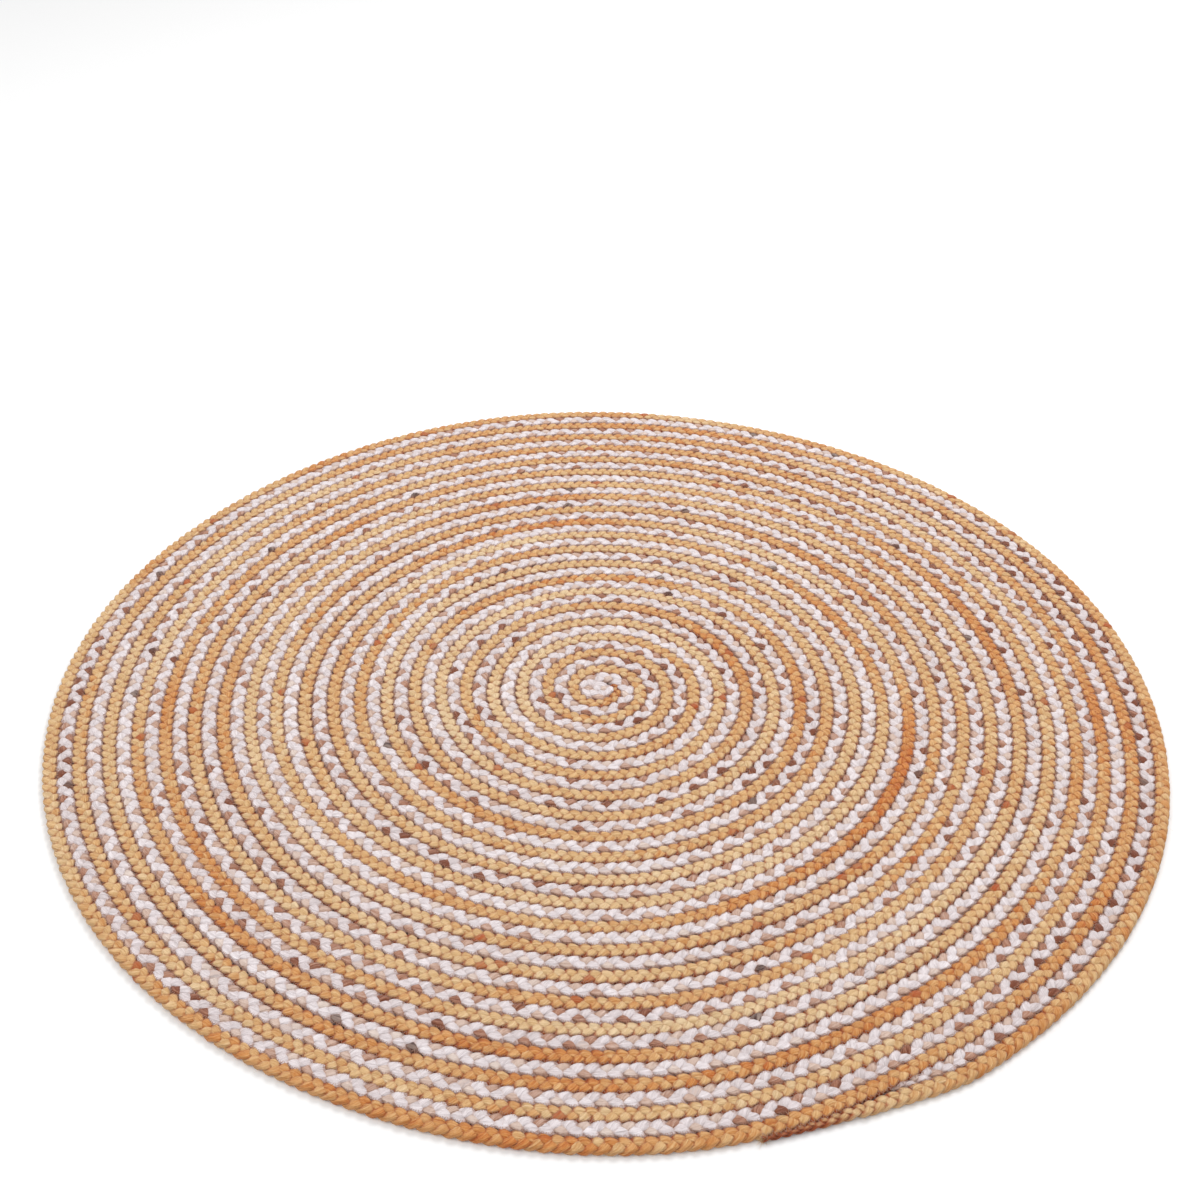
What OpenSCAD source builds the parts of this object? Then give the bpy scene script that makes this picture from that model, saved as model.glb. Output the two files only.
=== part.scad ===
/*
  Round rug wound from two flat plaits.

  A plait of three jute strands and a plait of two cotton strands and one taupe strand
  lie side by side and run outwards together, clockwise from above, as a double spiral.
  Neighbouring rows are joined by a seam, with a needle thread in the groove on top
  and a bobbin thread in the groove underneath.
  Each strand is drawn as a lane a third of its plait wide, with no crossings.
  Units are millimetres. +Z is up, and the origin is at the middle of the underside.
*/

/* [Plaits] */
// Distance from the middle of one strand to the middle of the next
strand_pitch = 6.1; // [5.5:0.02:8]
// Height of a plait lying flat
plait_height = 9; // [8:0.5:12]
// Whole turns that the pair of plaits makes
turns = 20; // [6:1:24]
// Clear space between one strand and the next
strand_gap = 0.3; // [0.2:0.05:0.6]
// Bevel along the top and the foot of a strand
bevel = 1.5; // [1.2:0.1:1.7]

/* [Ends] */
// Direction in which the winding starts, from +X
start_angle = 34; // [-180:1:180]
// Radius of the eye that the tight first curl leaves open
eye_radius = 1; // [0.5:0.1:2]
// Radius of the bend that brings the jute plait in against its own last row
closing_radius = 420; // [300:10:600]

/* [Seams] */
// Width of a sewing thread
thread_width = 0.8; // [0.5:0.1:0.9]
// Height of a sewing thread
thread_height = 0.5; // [0.4:0.1:0.6]
// Depth of the needle thread's top below the top of the plaits
needle_depth = 0.4; // [0.3:0.1:0.6]
// Height of the bobbin thread's underside above the floor
bobbin_height = 0.05; // [0.05:0.05:0.1]

/* [Hidden] */
$fn = 96;

JUTE = [0.85, 0.64, 0.36];
COTTON = [0.93, 0.91, 0.91];
TAUPE = [0.66, 0.5, 0.43];
THREAD = [0.9, 0.86, 0.8];

// Width of one plait, and so of one row
plait_width = 3 * strand_pitch;
strand_width = strand_pitch - strand_gap;
half_strand = strand_width / 2;

// The spiral is drawn with half circles about two centres in turn
growth = plait_width;
last_half = 2 * turns;

// From the middle of the mixed plait to the middle of the jute plait, and to the seams
jute_shift = plait_width;
inner_seam_shift = plait_width / 2;
outer_seam_shift = plait_width * 3 / 2;

// How far before the start of the winding each strand begins, so that the plaits taper
cotton_outer_tip = 9;
taupe_tip = 21;
cotton_inner_tip = 32;
jute_middle_tip = 12;
jute_inner_tip = 26;

// Turn that the winding makes after its last whole one, before the plaits run out
run_on = 90;

// Centre about which half k turns
function hub(k) = [(k % 2 == 0 ? -1 : 1) * growth / 2, 0];

// Radius of the mixed plait's middle in half k
function row_radius(k) = plait_width / 2 + eye_radius + growth * k;

// Point on the rim at a turn counted back from the end of the winding
function rim_point(back) =
    let (k = last_half - ceil((back - run_on) / 180), a = start_angle + back - run_on)
    let (r = row_radius(k) + jute_shift + plait_width / 2, c = hub(k))
    [
        c.x * cos(start_angle) + r * cos(a),
        c.x * sin(start_angle) + r * sin(a)
    ];

rim = [for (back = [0.25:0.5:359.75]) rim_point(back)];
rim_x = [for (p = rim) p.x];
rim_y = [for (p = rim) p.y];
middle = [(max(rim_x) + min(rim_x)) / 2, (max(rim_y) + min(rim_y)) / 2];

// From the last hub to the middle of the jute plait, and to the centre of its closing bend
end_radius = row_radius(last_half) + jute_shift;
bend_reach = end_radius - closing_radius;
// From the last hub to where a strand closing in comes up against the jute's last row
closed_radius = end_radius - 2 * plait_width + strand_pitch + half_strand + strand_gap;

// Radius of a closing strand's inner edge
function closing_edge(shift) = closing_radius + shift - half_strand;

// Turn about the bend's centre that brings a closing strand's inner edge to a distance
// from the last hub
function bend_turn(shift, distance) =
    let (edge = closing_edge(shift))
    let (rest = pow(distance, 2) - pow(bend_reach, 2) - pow(edge, 2))
    acos(min(1, rest / (2 * bend_reach * edge)));

// The same turn seen from the last hub
function hub_turn(shift, distance) =
    let (edge = closing_edge(shift), t = bend_turn(shift, distance))
    atan2(edge * sin(t), bend_reach + edge * cos(t));

// Section of a strand, bevelled on top and underneath
module strand_section() {
    flat = half_strand - bevel;
    polygon([
        [-flat, 0],
        [flat, 0],
        [half_strand, bevel],
        [half_strand, plait_height - bevel],
        [flat, plait_height],
        [-flat, plait_height],
        [-half_strand, plait_height - bevel],
        [-half_strand, bevel]
    ]);
}

// Section of a sewing thread with its underside at the given height
module thread_section(height) {
    translate([-thread_width / 2, height])
        square([thread_width, thread_height]);
}

// Sweeps a section counterclockwise from +X about a point
module sweep(centre, radius, turn) {
    translate([centre.x, centre.y, 0])
        rotate_extrude(angle = turn)
            translate([radius, 0])
                children();
}

// Sweeps a section clockwise from +X about a point
module clockwise(centre, radius, turn) {
    mirror([0, 1, 0])
        sweep(centre, radius, turn)
            children();
}

// Puts the winding in the rug's frame
module placed() {
    translate([-middle.x, -middle.y, 0])
        rotate([0, 0, start_angle])
            children();
}

// Winds a section from a tip before the start, through whole halves, and on by a last turn
module winding(shift, tip, halves, last_turn) {
    if (tip > 0)
        sweep(hub(0), row_radius(0) + shift, tip)
            children();
    for (k = [0:2:halves - 2]) {
        clockwise(hub(k), row_radius(k) + shift, 180)
            children();
        sweep(hub(k + 1), row_radius(k + 1) + shift, 180)
            children();
    }
    clockwise(hub(halves), row_radius(halves) + shift, last_turn)
        children();
}

// A mixed plait's strand, which runs on until the closing jute plait meets it
module mixed_strand(shift, tip) {
    outer_edge = end_radius - jute_shift + shift + half_strand;
    placed()
        winding(shift, tip, last_half, run_on + hub_turn(-strand_pitch, outer_edge + strand_gap))
            strand_section();
}

// A jute plait's strand, which bends in at the end until it meets the row inside it
module jute_strand(shift, tip) {
    placed() {
        winding(jute_shift + shift, tip, last_half, run_on)
            strand_section();
        translate([hub(last_half).x, 0, 0])
            rotate([0, 0, -run_on])
                clockwise([bend_reach, 0], closing_radius + shift, bend_turn(shift, closed_radius))
                    strand_section();
    }
}

// The seam between the mixed plait and the jute plait outside it
module inner_seam(height) {
    placed()
        winding(inner_seam_shift, jute_inner_tip, last_half, run_on)
            thread_section(height);
}

// The seam between the jute plait and the next turn outside it
module outer_seam(height) {
    placed()
        winding(outer_seam_shift, 0, last_half - 2, run_on + hub_turn(strand_pitch, closed_radius))
            thread_section(height);
}

needle_underside = plait_height - needle_depth - thread_height;

module jute_strand_outer() {
    color(JUTE) jute_strand(strand_pitch, 0);
}

module jute_strand_middle() {
    color(JUTE) jute_strand(0, jute_middle_tip);
}

module jute_strand_inner() {
    color(JUTE) jute_strand(-strand_pitch, jute_inner_tip);
}

module cotton_strand_outer() {
    color(COTTON) mixed_strand(strand_pitch, cotton_outer_tip);
}

module taupe_strand() {
    color(TAUPE) mixed_strand(0, taupe_tip);
}

module cotton_strand_inner() {
    color(COTTON) mixed_strand(-strand_pitch, cotton_inner_tip);
}

module inner_seam_needle_thread() {
    color(THREAD) inner_seam(needle_underside);
}

module inner_seam_bobbin_thread() {
    color(THREAD) inner_seam(bobbin_height);
}

module outer_seam_needle_thread() {
    color(THREAD) outer_seam(needle_underside);
}

module outer_seam_bobbin_thread() {
    color(THREAD) outer_seam(bobbin_height);
}

jute_strand_outer();
jute_strand_middle();
jute_strand_inner();
cotton_strand_outer();
taupe_strand();
cotton_strand_inner();
inner_seam_needle_thread();
inner_seam_bobbin_thread();
outer_seam_needle_thread();
outer_seam_bobbin_thread();
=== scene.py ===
"""Looks of a round rug wound from a jute plait and a cotton and taupe plait.

Every strand is swept along its real path over and under the other two of its plait, and
the pair of plaits runs outwards, clockwise from above, as one double spiral.
Sizes are in metres. The rug's outline, rows and height follow from the CAD model's box.
"""

import math

import bpy
import numpy as np
from mathutils import Euler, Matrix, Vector


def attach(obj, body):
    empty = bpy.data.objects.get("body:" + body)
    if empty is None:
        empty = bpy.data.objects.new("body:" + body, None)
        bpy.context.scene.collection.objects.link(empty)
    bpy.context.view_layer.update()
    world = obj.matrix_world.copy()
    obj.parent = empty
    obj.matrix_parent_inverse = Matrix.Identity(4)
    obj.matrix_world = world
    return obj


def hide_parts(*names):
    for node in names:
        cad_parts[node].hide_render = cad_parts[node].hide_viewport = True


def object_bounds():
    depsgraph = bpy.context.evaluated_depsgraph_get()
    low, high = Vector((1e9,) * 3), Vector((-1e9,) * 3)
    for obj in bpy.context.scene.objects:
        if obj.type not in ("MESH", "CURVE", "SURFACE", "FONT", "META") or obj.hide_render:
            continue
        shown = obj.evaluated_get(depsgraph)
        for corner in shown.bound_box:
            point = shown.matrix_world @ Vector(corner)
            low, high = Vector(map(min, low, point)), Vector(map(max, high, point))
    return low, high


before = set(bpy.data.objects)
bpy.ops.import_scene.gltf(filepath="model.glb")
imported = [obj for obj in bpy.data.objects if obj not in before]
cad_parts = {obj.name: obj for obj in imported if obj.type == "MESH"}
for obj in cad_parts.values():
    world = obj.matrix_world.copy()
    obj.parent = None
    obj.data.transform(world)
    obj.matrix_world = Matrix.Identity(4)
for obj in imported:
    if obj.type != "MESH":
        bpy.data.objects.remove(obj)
CAD_LOW, CAD_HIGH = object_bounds()

# ---- The rug's layout -------------------------------------------------------------------

TURN = 2 * math.pi
RADIUS = (CAD_HIGH.x - CAD_LOW.x + CAD_HIGH.y - CAD_LOW.y) / 4
HEIGHT = CAD_HIGH.z - CAD_LOW.z
ROWS_ACROSS_RADIUS = 40.75
WIDTH = RADIUS / ROWS_ACROSS_RADIUS      # of one plait, and so of one row
PITCH = 2 * WIDTH                        # from a row to the same plait's next row
SPIRAL_CENTRE = np.array((-0.0150, -0.0040)) * RADIUS
START = math.radians(-9)                 # direction in which the winding leaves the centre

MIXED_START = math.radians(-215)         # all of these are turns about the centre
MIXED_FULL = math.radians(-150)
MIXED_END = 20 * TURN + math.radians(55)
JUTE_START = math.radians(-48)
JUTE_END = 20 * TURN + math.radians(67.5)
CLOSING_START = 20 * TURN + math.radians(47)
CLOSING_END = 20 * TURN + math.radians(58.5)
TAIL_TAPER = math.radians(15)
CURL = 0.45 * WIDTH                      # radius of the mixed plait's first tight curl

# How the rows swing out past the plaits' ends, so that the rim stays nearly round
SWING_AT = math.radians(-69)
SWING_SOFTNESS = math.radians(12)
SWING_FADE = math.radians(50)
SWING_OUT = 0.0247 * RADIUS
SWING_IN = 0.0107 * RADIUS
HOLLOW_AT = math.radians(143)
HOLLOW_SPAN = math.radians(28)
HOLLOW_DEPTH = 0.0130 * RADIUS
SWING_POWER = 1.7                        # how fast all this dies away towards the centre
WANDER = 0.0008                          # height of each of the rows' slow waves
WANDER_RISE = 5                          # how fast the waves grow from nothing at the centre
WAVE_COUNT = 5
WAVES_AROUND = (1, 7)                    # whole waves in a turn, below the second number
WAVES_OUTWARD = (20, 60)                 # in radians to the metre
TIP_SCALE = 0.7                          # the mixed plait's size at its start, against full size
END_SCALE = 0.2                          # and that of either plait at its end

# ---- A plait's make ---------------------------------------------------------------------

JUTE_PERIOD = 0.0425                     # plait length in which a strand comes back to its side
MIXED_PERIOD = 0.0475
SWAY = 0.264 * WIDTH                     # how far a strand's middle goes to each side
LIFT = 0.205 * HEIGHT                    # how far it rises and dips to cross the others
STRAND_HALF_WIDTH = 0.314 * WIDTH
STRAND_HALF_HEIGHT = 0.290 * HEIGHT
SIDE_SHAPE = 0.75                        # powers that square a strand's oval section
RISE_SHAPE = 0.6
PLIES = 3
PLY_SWELL = 0.045
HEADROOM = 0.97                          # share of the way to the rug's faces that a strand fills
SHADE_TOP = 0.8                         # where painted crease shade starts, from the middle to the faces
SHADE_SPAN = 0.2
RING_STEP = 0.0025
SIDES = 12
EDGE_THINNER = 0.08                      # where a strand turns at the plait's side
EDGE_TALLER = 0.25
PLY_TURN = 0.021                         # length in which a strand's plies twist once
FIBRE_TURN = 0.05                        # the same for the fibres in the material
FIBRE_REACH = 0.0035                     # radius at which the fibres are mapped
HAIR_RINGS = 5
HAIR_SIDES = 3
HAIR_SPREAD = 0.55                       # how far hairs lean from the surface's normal
HAIR_BEND = 0.5
HAIR_SAG = 0.35
HAIR_TOP = HEIGHT + 0.004                # no hair reaches above this, or below the next
HAIR_FLOOR = 0.0003
HAIR_THINNING = 0.7
HAIR_LENGTHS = (0.4, 1.3)                # shares of the usual length
FRAY_LENGTHS = (0.3, 1.2)
FRAYED = 50                              # fibres that fray out of a strand's end
END_RINGS = 4                            # rings of the strand that they leave from
FRAY_LENGTH = 0.006
FRAY_RADIUS = 0.00014
PATH_STEP = 0.001                        # in radians
STRIP_MARGIN = 0.06                      # free share at each side of a strip of the UV map
TURN_GROUPS = (-1, 6, 10, 13, 16, 19, 21)  # a strand's pieces, so that each mesh stays small

# How a strand and its dye stray from a perfect plait: (size, knot length) pairs
PHASE_STRAY = (0.10, 0.09)
SWAY_STRAY = (0.05, 0.03)
HEIGHT_STRAY = (0.0001, 0.02)
GIRTH_STRAY = (0.06, 0.012)
TIGHTNESS_STRAY = ((0.006, 0.35), (0.0015, 0.08))
STRAND_DYE = ((0.25, 0.3), (0.25, 0.09))
PLAIT_DYE = ((0.55, 0.5), (0.25, 0.13))
DARKER_SIDE = 0.35                       # darker towards +X
SIDE_SPAN = (0.1, 0.9)                   # where it sets in and is full, in shares of the radius
DEEPER_RIM = 0.2                         # and in the last few rows
RIM_SPAN = (0.86, 1)
OPEN_RIM = 0.85                          # how much of its painted crease shade the rim's outer side loses
OPEN_SPAN = (0.2, 0.4)                   # in widths from the middle of the last row
OPEN_LEAD = 0.1                          # in radians, over which this sets in
THINNEST = 0.15                          # girth left where a plait's scale comes to nothing

STITCH = 0.0054                          # length of one zigzag of the seams
STITCH_DIP = 0.0012                      # how far a stitch's ends are drawn into the plaits
STITCH_REACH = 0.0031
STITCH_STRAY = 0.15
THREAD_STRAY = 0.0001
THREAD_RADIUS = 0.00028
THREAD_SIDES = 4
THREAD_GROUPS = (-1, 10, 16, 21)



def ramp_between(x, low, high):
    """0 below low, 1 above high, and smooth between."""
    t = np.clip((x - low) / (high - low), 0, 1)
    return t * t * (3 - 2 * t)


def drift(x, knot, generator):
    """Smooth seeded noise from -1 to 1 along x, with a new value at each knot length."""
    first = math.floor(x.min() / knot) - 1
    values = generator.uniform(-1, 1, int((x.max() - x.min()) / knot) + 5)
    place = x / knot - first
    index = np.floor(place).astype(int)
    t = place - index
    t = t * t * (3 - 2 * t)
    return values[index] * (1 - t) + values[index + 1] * t


def stray(x, generator, *waves):
    """The sum of a drift for each (size, knot length) pair."""
    return sum(size * drift(x, knot, generator) for size, knot in waves)


# ---- The double spiral ------------------------------------------------------------------


def mixed_radius(a):
    """Radius of the spiral that the mixed plait winds along, at turn a."""
    return np.sqrt(CURL**2 + (np.maximum(a, 0) * PITCH / TURN) ** 2)


def closing(a):
    """How far the jute plait has closed the space of the mixed plait, from 0 to 1."""
    return ramp_between(a, CLOSING_START, CLOSING_END)


def mixed_scale(a):
    """The mixed plait's size against its full one."""
    tip = TIP_SCALE + (1 - TIP_SCALE) * ramp_between(a, MIXED_START, MIXED_FULL)
    return np.minimum(tip, np.maximum(1 - closing(a), END_SCALE))


def jute_scale(a):
    """The jute plait's size against its full one, which also follows the room it has."""
    room = (mixed_radius(a + TURN) - mixed_radius(a)) / WIDTH - 1
    tail = 1 - (1 - END_SCALE) * ramp_between(a, JUTE_END - TAIL_TAPER, JUTE_END)
    return np.clip(np.minimum(room, tail), END_SCALE, 1)


def mixed_middle(a):
    """Radius of the mixed plait's middle, which moves in as the plait runs out."""
    ending = np.where(a > CLOSING_START, 1 - mixed_scale(a), 0)
    return mixed_radius(a) - ending * WIDTH / 2


def jute_middle(a):
    """Radius of the jute plait's middle, half-way between two turns of the mixed plait."""
    ending = np.where(a > CLOSING_END, 1 - jute_scale(a), 0)
    return (mixed_radius(a) + mixed_radius(a + TURN)) / 2 - (closing(a) + ending / 2) * WIDTH


def inner_seam_middle(a):
    return (mixed_middle(a) + jute_middle(a)) / 2


def outer_seam_middle(a):
    return (jute_middle(a) + mixed_radius(a + TURN)) / 2


rng = np.random.default_rng(20)
WAVES = [
    (rng.integers(*WAVES_AROUND), rng.uniform(*WAVES_OUTWARD), rng.uniform(0, TURN))
    for _ in range(WAVE_COUNT)
]


def on_floor(a, radius):
    """Places in the rug's frame of points at a turn and a radius, with the rows' swings."""
    direction = START - a
    past = np.mod(SWING_AT - direction + math.pi, TURN) - math.pi
    side = (1 + np.tanh(past / SWING_SOFTNESS)) / 2
    fade = np.exp(-((past / SWING_FADE) ** 2))
    swing = (side * SWING_OUT - (1 - side) * SWING_IN) * fade
    from_hollow = np.mod(direction - HOLLOW_AT + math.pi, TURN) - math.pi
    swing = swing - HOLLOW_DEPTH * np.exp(-((from_hollow / HOLLOW_SPAN) ** 2))
    wander = sum(
        WANDER * np.sin(n * direction + k * radius + phase) for n, k, phase in WAVES
    )
    share = np.clip(radius / RADIUS, 0, 1)
    out = radius + swing * share**SWING_POWER + wander * np.minimum(share * WANDER_RISE, 1)
    return SPIRAL_CENTRE + out[:, None] * np.stack((np.cos(direction), np.sin(direction)), 1)


def route(a_first, a_last, middle, step):
    """Evenly spaced points of a row: turn, length, place, tangent and outward normal."""
    a = np.arange(a_first, a_last, PATH_STEP)
    places = on_floor(a, middle(a))
    lengths = np.concatenate(((0,), np.cumsum(np.linalg.norm(np.diff(places, axis=0), axis=1))))
    along = np.arange(0, lengths[-1], step)
    turn = np.interp(along, lengths, a)
    xy = np.stack([np.interp(along, lengths, places[:, i]) for i in (0, 1)], 1)
    tangent = np.gradient(xy, axis=0)
    tangent /= np.linalg.norm(tangent, axis=1)[:, None]
    normal = np.stack((-tangent[:, 1], tangent[:, 0]), 1)
    return turn, along, xy, tangent, normal


# ---- Meshes -----------------------------------------------------------------------------


def strip_map(tubes, count, sides, cuts, columns):
    """UV map of the sides of closed tubes, each unrolled into side by side strips."""
    per_cut = math.ceil((count - 1) / cuts)
    i = np.arange(count - 1)
    cell = np.arange(tubes)[:, None] * cuts + i[None] // per_cut
    rows = math.ceil(tubes * cuts / columns)
    u0 = (cell % columns + (i % per_cut)[None] / per_cut) / columns
    u1 = u0 + 1 / (per_cut * columns)
    j = np.arange(sides) / sides
    v0 = (cell[..., None] // columns + STRIP_MARGIN + (1 - 2 * STRIP_MARGIN) * j) / rows
    v1 = v0 + (1 - 2 * STRIP_MARGIN) / (sides * rows)
    u0, u1 = (np.broadcast_to(u[..., None], v0.shape) for u in (u0, u1))
    return np.stack((u0, v0, u0, v1, u1, v1, u1, v0), -1).reshape(-1, 2)


def strips_of(ring_line):
    """How many strips side by side make one long tube's map nearly square."""
    length = np.linalg.norm(np.diff(ring_line[:, 0], axis=0), axis=1).sum()
    girth = np.linalg.norm(np.roll(ring_line[0], 1, 0) - ring_line[0], axis=1).sum()
    return max(1, int(round(math.sqrt(length / girth))))


def tube_object(name, rings, attributes, material, columns=1):
    """One object of closed tubes. rings is (tubes, rings, sides, 3), each in order along it."""
    tubes, count, sides, _ = rings.shape
    vertex = np.arange(tubes * count * sides).reshape(tubes, count, sides)
    after = np.roll(vertex, -1, 2)
    quads = np.stack((vertex[:, :-1], after[:, :-1], after[:, 1:], vertex[:, 1:]), -1)
    caps = np.concatenate((vertex[:, 0, ::-1], vertex[:, -1]))
    loops = np.concatenate((quads.ravel(), caps.ravel())).astype(np.int32)
    starts = np.concatenate((
        np.arange(quads.size // 4) * 4,
        quads.size + np.arange(len(caps)) * sides,
    )).astype(np.int32)

    mesh = bpy.data.meshes.new(name)
    mesh.vertices.add(vertex.size)
    mesh.vertices.foreach_set("co", rings.astype(np.float32).ravel())
    mesh.loops.add(len(loops))
    mesh.loops.foreach_set("vertex_index", loops)
    mesh.polygons.add(len(starts))
    mesh.polygons.foreach_set("loop_start", starts)
    mesh.update(calc_edges=True)
    mesh.shade_smooth()

    for key, values in attributes.items():
        kind, field = ("FLOAT_VECTOR", "vector") if values.ndim > 3 else ("FLOAT", "value")
        made = mesh.attributes.new(key, kind, "POINT")
        made.data.foreach_set(field, values.astype(np.float32).ravel())

    cuts = strips_of(rings[0]) if tubes == 1 else 1
    uv = strip_map(tubes, count, sides, cuts, columns)
    uv = np.concatenate((uv, np.tile(uv[:1], (caps.size, 1))))
    mesh.uv_layers.new(name="OFBake").data.foreach_set("uv", uv.astype(np.float32).ravel())

    mesh.materials.append(material)
    piece = bpy.data.objects.new(name, mesh)
    bpy.context.scene.collection.objects.link(piece)
    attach(piece, "root")
    return piece


def tube_in_turns(node, turn, groups, shared, rings, attributes, material):
    """One long tube as objects of a few turns each, with shared rings where they meet."""
    for low, high in zip(groups, groups[1:]):
        part = np.flatnonzero((turn >= low * TURN) & (turn < high * TURN))
        part = np.arange(part[0], min(part[-1] + 1 + shared, len(turn)))
        piece = tube_object(
            f"{node}_turns_{max(low, 0):02d}_{high:02d}",
            rings[None, part],
            {key: values[None, part] for key, values in attributes.items()},
            material,
        )
        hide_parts(node)


def sweep(centre, along, half_width, half_height):
    """Rings of an oval section with twisted plies along a centre line, flat side up."""
    tangent = np.gradient(centre, axis=0)
    tangent /= np.linalg.norm(tangent, axis=1)[:, None]
    across = np.stack((-tangent[:, 1], tangent[:, 0], np.zeros(len(tangent))), 1)
    across /= np.linalg.norm(across, axis=1)[:, None]
    up = np.cross(tangent, across)
    t = np.arange(SIDES) * TURN / SIDES
    swell = 1 + PLY_SWELL * np.cos(PLIES * t[None] - TURN * along[:, None] / PLY_TURN)
    side = np.sign(np.cos(t)) * np.abs(np.cos(t)) ** SIDE_SHAPE
    rise = np.sign(np.sin(t)) * np.abs(np.sin(t)) ** RISE_SHAPE
    return (
        centre[:, None]
        + across[:, None] * (half_width[:, None] * swell * side)[..., None]
        + up[:, None] * (half_height[:, None] * swell * rise)[..., None]
    )


# ---- Strands ----------------------------------------------------------------------------


def hairs(name, node, base, outward, length, radius, tints, material, own):
    """Loose fibres that leave a strand's surface at the base points and bend over."""
    count = len(base)
    ahead = outward + own.normal(0, HAIR_SPREAD, (count, 3))
    ahead /= np.linalg.norm(ahead, axis=1)[:, None]
    bend = own.normal(0, HAIR_BEND, (count, 3)) - (0, 0, HAIR_SAG)
    t = np.linspace(0, 1, HAIR_RINGS)[None, :, None]
    line = base[:, None] + length[:, None, None] * (ahead[:, None] * t + bend[:, None] * t * t)
    line[..., 2] = np.clip(line[..., 2], HAIR_FLOOR, HAIR_TOP)
    aside = np.cross(ahead, own.normal(0, 1, (count, 3)))
    aside /= np.linalg.norm(aside, axis=1)[:, None]
    other = np.cross(ahead, aside)
    angle = np.arange(HAIR_SIDES) * TURN / HAIR_SIDES
    round_it = (
        aside[:, None] * np.cos(angle)[None, :, None]
        + other[:, None] * np.sin(angle)[None, :, None]
    )
    thin = radius[:, None, None, None] * (1 - HAIR_THINNING * t[..., None])
    rings = line[:, :, None] + round_it[:, None] * thin
    shape = (count, HAIR_RINGS, HAIR_SIDES)
    attributes = {key: np.broadcast_to(v[:, None, None], shape) for key, v in tints.items()}
    along = np.broadcast_to(length[:, None, None] * t + np.arange(count)[:, None, None], shape)
    attributes["fibre"] = np.stack((0 * along, 0 * along, along), -1)
    piece = tube_object(name, rings, attributes, material, math.ceil(math.sqrt(count)))
    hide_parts(node)


def strand_hairs(node, rings, centre, attributes, fuzz, material, own):
    """Fuzz on the upper surface of a strand, and the frayed fibres of its end."""
    spacing, length, radius = fuzz
    count = int(len(rings) * RING_STEP / spacing)
    ring = own.integers(2, len(rings) - 2, count)
    side = own.integers(0, SIDES // 2 + 1, count)
    base = rings[ring, side]
    outward = base - centre[ring]
    outward /= np.linalg.norm(outward, axis=1)[:, None]
    reach = length * own.uniform(*HAIR_LENGTHS, count)

    end_ring = own.integers(len(rings) - END_RINGS, len(rings), FRAYED)
    end_side = own.integers(0, SIDES, FRAYED)
    end_base = (rings[end_ring, end_side] + centre[end_ring]) / 2
    onward = centre[-1] - centre[-END_RINGS]
    onward = np.tile(onward / np.linalg.norm(onward), (FRAYED, 1))

    ring, side = np.concatenate((ring, end_ring)), np.concatenate((side, end_side))
    tints = {key: attributes[key][ring, side] for key in ("lobe_tone", "slow_tone", "rare")}
    # Loose fibres get no painted crease shade
    tints["painted_shade"] = np.zeros(len(ring))
    hairs(
        f"{node}_fuzz", node,
        np.concatenate((base, end_base)),
        np.concatenate((outward, onward)),
        np.concatenate((reach, FRAY_LENGTH * own.uniform(*FRAY_LENGTHS, FRAYED))),
        np.concatenate((np.full(count, radius), np.full(FRAYED, FRAY_RADIUS))),
        tints, material, own,
    )


def strand(node, line, phase, period, lean, scale, look, seed):
    """One strand of a plait, from the centre to the rim, in pieces of a few turns each."""
    breadth, girth, rarity, fuzz, material = look
    own = np.random.default_rng(seed)
    turn, along, xy, tangent, normal, beat, plait_tone, rim = line
    u = beat * TURN / period + phase + stray(along, own, PHASE_STRAY)
    size = scale(turn)
    sway = SWAY * breadth * size * (1 + stray(along, own, SWAY_STRAY))
    sideways = sway * np.sin(u)
    over = np.sin(2 * u)
    over *= 1.5 - 0.5 * over**2          # long flat crossings and short steep dives
    height = HEIGHT / 2 + lean * LIFT * over + stray(along, own, HEIGHT_STRAY)
    centre = np.concatenate((xy + normal * sideways[:, None], height[:, None]), 1)
    edge = np.sin(u) ** 2
    fat = girth * (THINNEST + (1 - THINNEST) * size) * (1 + stray(along, own, GIRTH_STRAY))
    half_width = STRAND_HALF_WIDTH * breadth * fat * (1 - EDGE_THINNER * edge)
    half_height = STRAND_HALF_HEIGHT * fat * (1 + EDGE_TALLER * edge)
    half_height = np.minimum(half_height, HEADROOM * np.minimum(height, HEIGHT - height))
    rings = sweep(centre, along, half_width, half_height)

    lobe = np.floor(u / math.pi + (0.5 if lean > 0 else 0)).astype(int)
    lobe -= lobe.min()
    tones = own.uniform(-1, 1, lobe.max() + 1)
    rare = (own.uniform(0, 1, lobe.max() + 1) < rarity).astype(float)
    slow = plait_tone + stray(along, own, *STRAND_DYE)
    t = np.arange(SIDES) * TURN / SIDES
    t_fibre = t[None] + TURN * along[:, None] / FIBRE_TURN
    # Painted shade: a crease is darkened, but the outer side of the last row lies open and gets
    # less of it
    aside = np.einsum("rsi,ri->rs", rings[..., :2] - xy[:, None], normal) / WIDTH
    painted_shade = np.clip((SHADE_TOP - np.abs(2 * rings[..., 2] / HEIGHT - 1)) / SHADE_SPAN, 0, 1)
    painted_shade *= 1 - OPEN_RIM * rim[:, None] * ramp_between(aside, *OPEN_SPAN)
    attributes = {
        "lobe_tone": np.repeat(tones[lobe][:, None], SIDES, 1),
        "slow_tone": np.repeat(slow[:, None], SIDES, 1),
        "rare": np.repeat(rare[lobe][:, None], SIDES, 1),
        "painted_shade": painted_shade,
        "fibre": np.stack((
            np.cos(t_fibre) * FIBRE_REACH,
            np.sin(t_fibre) * FIBRE_REACH,
            np.repeat(along[:, None], SIDES, 1),
        ), -1),
    }
    tube_in_turns(node, turn, TURN_GROUPS, 1, rings, attributes, material)
    strand_hairs(node, rings, centre, attributes, fuzz, material, own)


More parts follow.
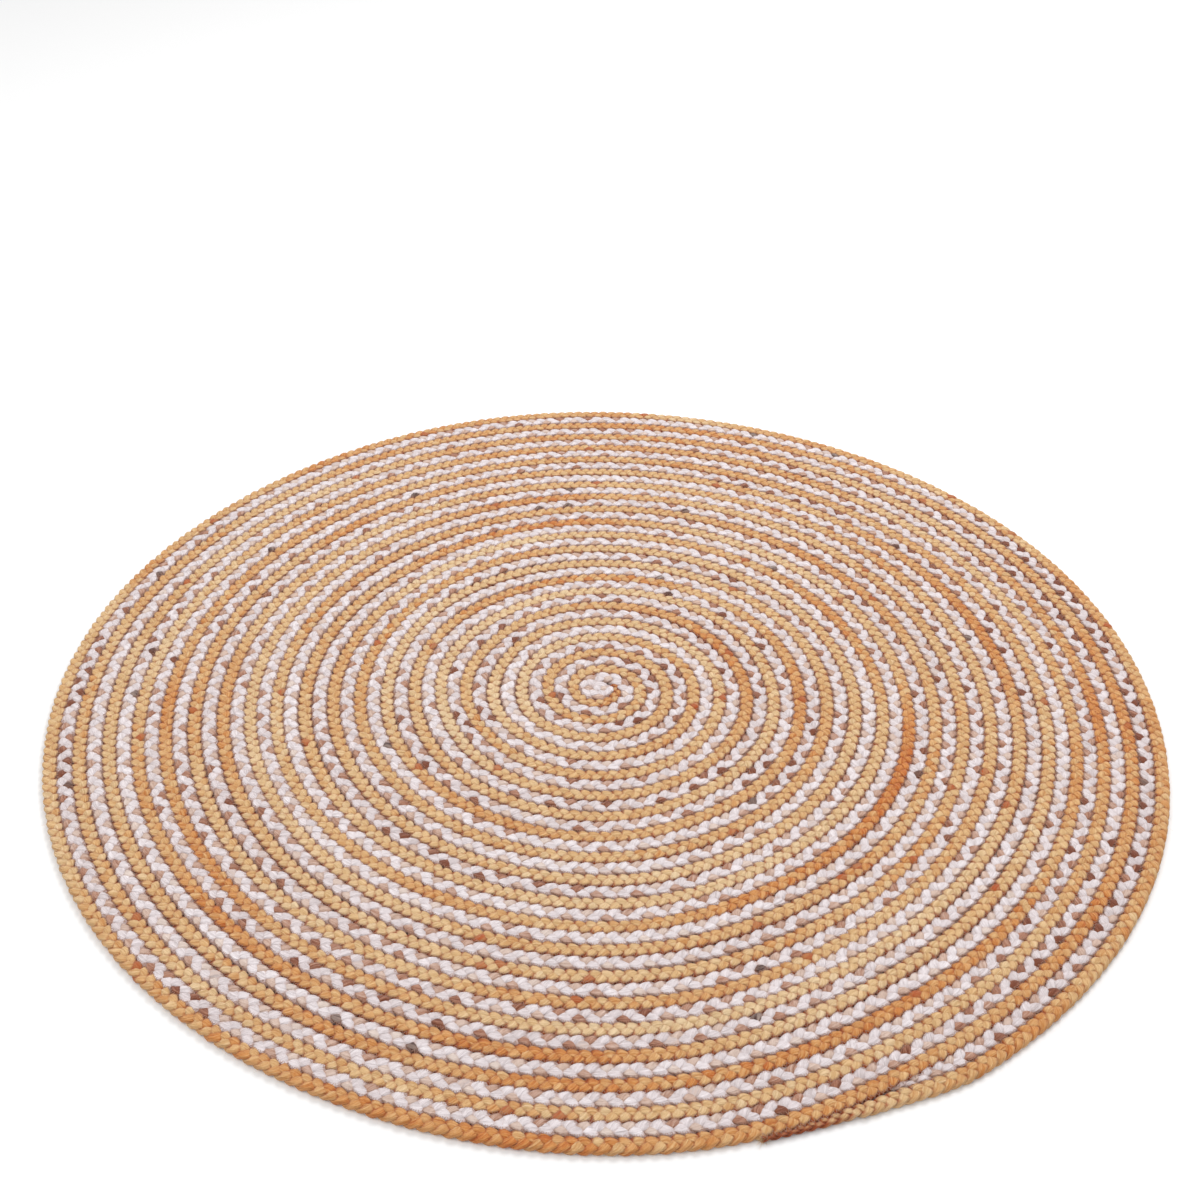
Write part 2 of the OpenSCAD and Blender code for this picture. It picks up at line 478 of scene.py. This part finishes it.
def plait(strands, middle, scale, first, last, rim_from, period, lean, seed):
    """Three strands that share a route, the plait's tightness and the slow changes of its tone."""
    own = np.random.default_rng(seed)
    turn, along, xy, tangent, normal = route(first, last, middle, RING_STEP)
    # The braiding is tighter here and looser there
    beat = along + stray(along, own, *TIGHTNESS_STRAY)
    # The colour is darker towards one side of the rug, and the dye deeper in the last few rows
    out = np.linalg.norm(xy, axis=1) / RADIUS
    plait_tone = stray(along, own, *PLAIT_DYE)
    plait_tone -= DARKER_SIDE * ramp_between(xy[:, 0] / RADIUS, *SIDE_SPAN)
    plait_tone -= DEEPER_RIM * ramp_between(out, *RIM_SPAN)
    rim = ramp_between(turn, rim_from - OPEN_LEAD, rim_from)
    line = (turn, along, xy, tangent, normal, beat, plait_tone, rim)
    for i, (node, slot, look) in enumerate(strands):
        strand(node, line, i * TURN / 3, period, lean, scale, look, seed + 1 + i)


# ---- Seams ------------------------------------------------------------------------------


def seam_thread(node, middle, first, last, height, material, seed):
    """A thread that zigzags over the groove between two rows, its ends drawn in."""
    turn, along, xy, tangent, normal = route(first, last, middle, STITCH / 4)
    own = np.random.default_rng(seed)
    wave = np.tile((-1.0, 0.0, 1.0, 0.0), len(along) // 4 + 1)[: len(along)]
    reach = STITCH_REACH * wave * own.uniform(1 - STITCH_STRAY, 1 + STITCH_STRAY, len(along))
    into = math.copysign(STITCH_DIP, HEIGHT / 2 - height)
    z = height + into * np.abs(wave) + own.uniform(-THREAD_STRAY, THREAD_STRAY, len(along))
    centre = np.concatenate((xy + normal * reach[:, None], z[:, None]), 1)
    ahead = np.concatenate((tangent, np.zeros((len(along), 1))), 1)
    t = (np.arange(THREAD_SIDES) + 0.5) * TURN / THREAD_SIDES
    rings = (
        centre[:, None]
        + ahead[:, None] * np.cos(t)[None, :, None] * THREAD_RADIUS
        + np.array((0, 0, THREAD_RADIUS)) * np.sin(t)[None, :, None]
    )
    shape = (len(along), THREAD_SIDES)
    fibre = np.stack((np.zeros(shape), np.zeros(shape), np.broadcast_to(along[:, None], shape)), -1)
    tube_in_turns(node, turn, THREAD_GROUPS, 0, rings, {"fibre": fibre}, material)


# ---- Materials --------------------------------------------------------------------------


NOISE_ROUGHNESS = 0.6
SHEEN_ROUGHNESS = 0.5
FINE_FIBRES = (1900, 3, 16)              # scale, detail and stretch
CLUMPS = (520, 2, 9)
THREAD_FIBRES = (1500, 2, 4)
CLUMP_HEIGHT = 2.2                       # against a fibre's
BUMP = (0.0014, 0.9)                     # distance and strength
RARE_DYE = 1.5                           # how strongly an odd crossing's dye shows


def linear(*srgb):
    """Linear colour from screen values of 0 to 255."""
    return tuple((c / 255 / 12.92) if c < 10 else ((c / 255 + 0.055) / 1.055) ** 2.4 for c in srgb)


class Nodes:
    """Short names for building a material's nodes."""

    def __init__(self, name):
        self.material = bpy.data.materials.new(name)
        self.material.use_nodes = True
        self.tree = self.material.node_tree
        self.shader = self.tree.nodes["Principled BSDF"]

    def add(self, kind, **settings):
        made = self.tree.nodes.new(kind)
        for key, value in settings.items():
            setattr(made, key, value)
        return made

    def link(self, out, into):
        self.tree.links.new(out, into)

    def attribute(self, name, vector=False):
        made = self.add("ShaderNodeAttribute", attribute_name=name, attribute_type="GEOMETRY")
        return made.outputs["Vector" if vector else "Fac"]

    def math(self, operation, *values, clamp=False):
        made = self.add("ShaderNodeMath", operation=operation, use_clamp=clamp)
        for socket, value in zip(made.inputs, values):
            if isinstance(value, (int, float)):
                socket.default_value = value
            else:
                self.link(value, socket)
        return made.outputs[0]

    def noise(self, scale, detail, stretch):
        """Noise along the strand's own fibres. stretch is its length over its breadth."""
        mapping = self.add("ShaderNodeMapping")
        self.link(self.attribute("fibre", True), mapping.inputs["Vector"])
        mapping.inputs["Scale"].default_value = (1, 1, 1 / stretch)
        made = self.add("ShaderNodeTexNoise")
        made.inputs["Scale"].default_value = scale
        made.inputs["Detail"].default_value = detail
        made.inputs["Roughness"].default_value = NOISE_ROUGHNESS
        self.link(mapping.outputs[0], made.inputs["Vector"])
        return made.outputs["Fac"]

    def ramp(self, factor, stops):
        made = self.add("ShaderNodeValToRGB")
        bar = made.color_ramp
        while len(bar.elements) < len(stops):
            bar.elements.new(0.5)
        for element, (place, colour) in zip(bar.elements, stops):
            element.position = place
            element.color = (*colour, 1)
        self.link(factor, made.inputs["Fac"])
        return made.outputs["Color"]

    def mix(self, factor, first, second, blend="MIX"):
        made = self.add("ShaderNodeMix", data_type="RGBA", blend_type=blend)
        for place, value in ((0, factor), (6, first), (7, second)):
            socket = made.inputs[place]
            if isinstance(value, tuple):
                socket.default_value = (*value, 1)
            elif isinstance(value, (int, float)):
                socket.default_value = value
            else:
                self.link(value, socket)
        return made.outputs[2]

    def bump(self, height, distance, strength):
        made = self.add("ShaderNodeBump")
        made.inputs["Strength"].default_value = strength
        made.inputs["Distance"].default_value = distance
        self.link(height, made.inputs["Height"])
        self.link(made.outputs[0], self.shader.inputs["Normal"])

    def finish(self, roughness, sheen, specular):
        self.shader.inputs["Roughness"].default_value = roughness
        self.shader.inputs["Sheen Weight"].default_value = sheen
        self.shader.inputs["Sheen Roughness"].default_value = SHEEN_ROUGHNESS
        self.shader.inputs["Specular IOR Level"].default_value = specular
        return self.material


def strand_material(name, stops, spread, rare_colour, crease_shade, fleck, finish):
    """Yarn whose tone changes by crossing, by patch and by fibre, each by its spread."""
    n = Nodes(name)
    fine = n.noise(*FINE_FIBRES)
    clumps = n.noise(*CLUMPS)
    lobe, slow, fibres = spread
    tone = n.math("MULTIPLY_ADD", n.attribute("lobe_tone"), lobe, 0.5)
    tone = n.math("MULTIPLY_ADD", n.attribute("slow_tone"), slow, tone)
    tone = n.math("MULTIPLY_ADD", n.math("SUBTRACT", clumps, 0.5), fibres, tone)
    tone = n.math("MULTIPLY_ADD", n.math("SUBTRACT", fine, 0.5), fibres, tone, clamp=True)
    colour = n.ramp(tone, stops)
    dark = n.math("MULTIPLY", n.attribute("rare"), n.math("MULTIPLY", clumps, RARE_DYE), clamp=True)
    colour = n.mix(dark, colour, rare_colour)
    # Painted shade: the colour darkens where a strand dives under its neighbours
    low = n.attribute("painted_shade")
    colour = n.mix(n.math("MULTIPLY", low, crease_shade[0]), colour, crease_shade[1])
    streak = n.math("MULTIPLY_ADD", n.math("ADD", fine, clumps), fleck, 1 - fleck)
    grey = n.add("ShaderNodeCombineColor")
    for socket in grey.inputs:
        n.link(streak, socket)
    colour = n.mix(1.0, colour, grey.outputs[0], "MULTIPLY")
    n.link(colour, n.shader.inputs["Base Color"])
    height = n.math("ADD", fine, n.math("MULTIPLY", clumps, CLUMP_HEIGHT))
    n.bump(height, *BUMP)
    return n.finish(*finish)


# The crease values give the weight and colour of painted shade in each yarn's creases
JUTE = strand_material(
    "jute",
    (
        (0.0, linear(190, 98, 36)),
        (0.22, linear(204, 138, 76)),
        (0.52, linear(213, 173, 122)),
        (0.95, linear(224, 198, 160)),
    ),
    spread=(0.06, 0.42, 0.6),
    rare_colour=linear(168, 76, 30),
    crease_shade=(0.95, linear(158, 68, 22)),
    fleck=0.55,
    finish=(0.85, 0.15, 0.25),
)
COTTON = strand_material(
    "cotton",
    ((0.1, linear(202, 187, 186)), (0.5, linear(222, 210, 211)), (0.9, linear(237, 229, 231))),
    spread=(0.08, 0.14, 0.8),
    rare_colour=linear(206, 184, 174),
    crease_shade=(0.6, linear(192, 154, 138)),
    fleck=0.42,
    finish=(0.95, 0.3, 0.15),
)
TAUPE = strand_material(
    "taupe",
    (
        (0.0, linear(122, 66, 44)),
        (0.2, linear(174, 124, 100)),
        (0.5, linear(208, 179, 163)),
        (0.95, linear(222, 204, 194)),
    ),
    spread=(0.32, 0.36, 0.5),
    rare_colour=linear(66, 36, 32),
    crease_shade=(0.55, linear(146, 92, 66)),
    fleck=0.4,
    finish=(0.92, 0.2, 0.2),
)


def thread_material():
    n = Nodes("thread")
    stops = ((0.2, linear(150, 98, 76)), (0.8, linear(204, 166, 146)))
    colour = n.ramp(n.noise(*THREAD_FIBRES), stops)
    n.link(colour, n.shader.inputs["Base Color"])
    return n.finish(0.7, 0.1, 0.3)


THREAD = thread_material()

# ---- The rug ----------------------------------------------------------------------------

# Breadth of the plait, girth, share of odd crossings, (spacing, length and radius of the
# fuzz) and material
JUTE_LOOK = (1.02, 1.0, 0.008, (0.022, 0.0065, 0.00008), JUTE)
COTTON_LOOK = (1.07, 1.05, 0.01, (0.013, 0.0045, 0.00007), COTTON)
TAUPE_LOOK = (1.07, 0.88, 0.02, (0.02, 0.0045, 0.00007), TAUPE)

plait(
    (
        ("jute_strand_outer", "jute", JUTE_LOOK),
        ("jute_strand_middle", "jute", JUTE_LOOK),
        ("jute_strand_inner", "jute", JUTE_LOOK),
    ),
    jute_middle, jute_scale, JUTE_START, JUTE_END, JUTE_END - TURN, JUTE_PERIOD, 1, 100,
)
plait(
    (
        ("cotton_strand_outer", "cotton", COTTON_LOOK),
        ("taupe_strand", "taupe", TAUPE_LOOK),
        ("cotton_strand_inner", "cotton", COTTON_LOOK),
    ),
    mixed_middle, mixed_scale, MIXED_START, MIXED_END, JUTE_END, MIXED_PERIOD, -1, 200,
)
NEEDLE_HEIGHT = 0.99 * HEIGHT
BOBBIN_HEIGHT = 0.06 * HEIGHT
OUTER_SEAM_END = JUTE_END - TURN
for node, middle, last, height, seed in (
    ("inner_seam_needle_thread", inner_seam_middle, MIXED_END, NEEDLE_HEIGHT, 301),
    ("inner_seam_bobbin_thread", inner_seam_middle, MIXED_END, BOBBIN_HEIGHT, 302),
    ("outer_seam_needle_thread", outer_seam_middle, OUTER_SEAM_END, NEEDLE_HEIGHT, 303),
    ("outer_seam_bobbin_thread", outer_seam_middle, OUTER_SEAM_END, BOBBIN_HEIGHT, 304),
):
    seam_thread(node, middle, 0.0, last, height, THREAD, seed)

# ---- Floor, light and camera ------------------------------------------------------------

FLOOR_REACH = 40 * RADIUS
FLOOR_TONE = 0.9
KEY_LIGHT = ("key", (1.3, 2.0, 3.0), 1.6, 66)        # place, size and watts
FILL_LIGHT = ("fill", (-2.4, -1.2, 3.2), 3.0, 38)
SKY_STRENGTH = 0.79
CAMERA_PLACE = (-0.019 * RADIUS, -2.447 * RADIUS, 2.025 * RADIUS + 0.55 * HEIGHT)
CAMERA_PITCH = math.radians(90 - 36.63)
CAMERA_ROLL = math.radians(1.12)
LENS = 51.6                              # in millimetres, as the sensor's width
SENSOR_WIDTH = 36


def floor():
    mesh = bpy.data.meshes.new("floor")
    corners = [(x, y, 0) for x, y in ((-1, -1), (1, -1), (1, 1), (-1, 1))]
    corners = [tuple(FLOOR_REACH * value for value in corner) for corner in corners]
    mesh.from_pydata(corners, [], [(0, 1, 2, 3)])
    n = Nodes("floor")
    n.shader.inputs["Base Color"].default_value = (FLOOR_TONE, FLOOR_TONE, FLOOR_TONE, 1)
    mesh.materials.append(n.finish(0.9, 0.0, 0.1))
    made = bpy.data.objects.new("floor", mesh)
    bpy.context.scene.collection.objects.link(made)


def area_light(name, place, size, power):
    light = bpy.data.lights.new(name, "AREA")
    light.shape = "SQUARE"
    light.size = size
    light.energy = power
    made = bpy.data.objects.new(name, light)
    made.location = place
    made.rotation_euler = (-Vector(place)).to_track_quat("-Z", "Y").to_euler()
    bpy.context.scene.collection.objects.link(made)


def camera():
    data = bpy.data.cameras.new("camera")
    data.lens = LENS
    data.sensor_width = SENSOR_WIDTH
    made = bpy.data.objects.new("camera", data)
    made.location = CAMERA_PLACE
    made.matrix_world = (
        made.matrix_basis
        @ Euler((CAMERA_PITCH, 0, 0)).to_matrix().to_4x4()
        @ Euler((0, 0, CAMERA_ROLL)).to_matrix().to_4x4()
    )
    bpy.context.scene.collection.objects.link(made)
    bpy.context.scene.camera = made


floor()
area_light(*KEY_LIGHT)
area_light(*FILL_LIGHT)
world = bpy.data.worlds.new("studio")
world.use_nodes = True
world.node_tree.nodes["Background"].inputs["Color"].default_value = (1, 1, 1, 1)
world.node_tree.nodes["Background"].inputs["Strength"].default_value = SKY_STRENGTH
bpy.context.scene.world = world
bpy.context.scene.view_settings.view_transform = "Standard"
camera()
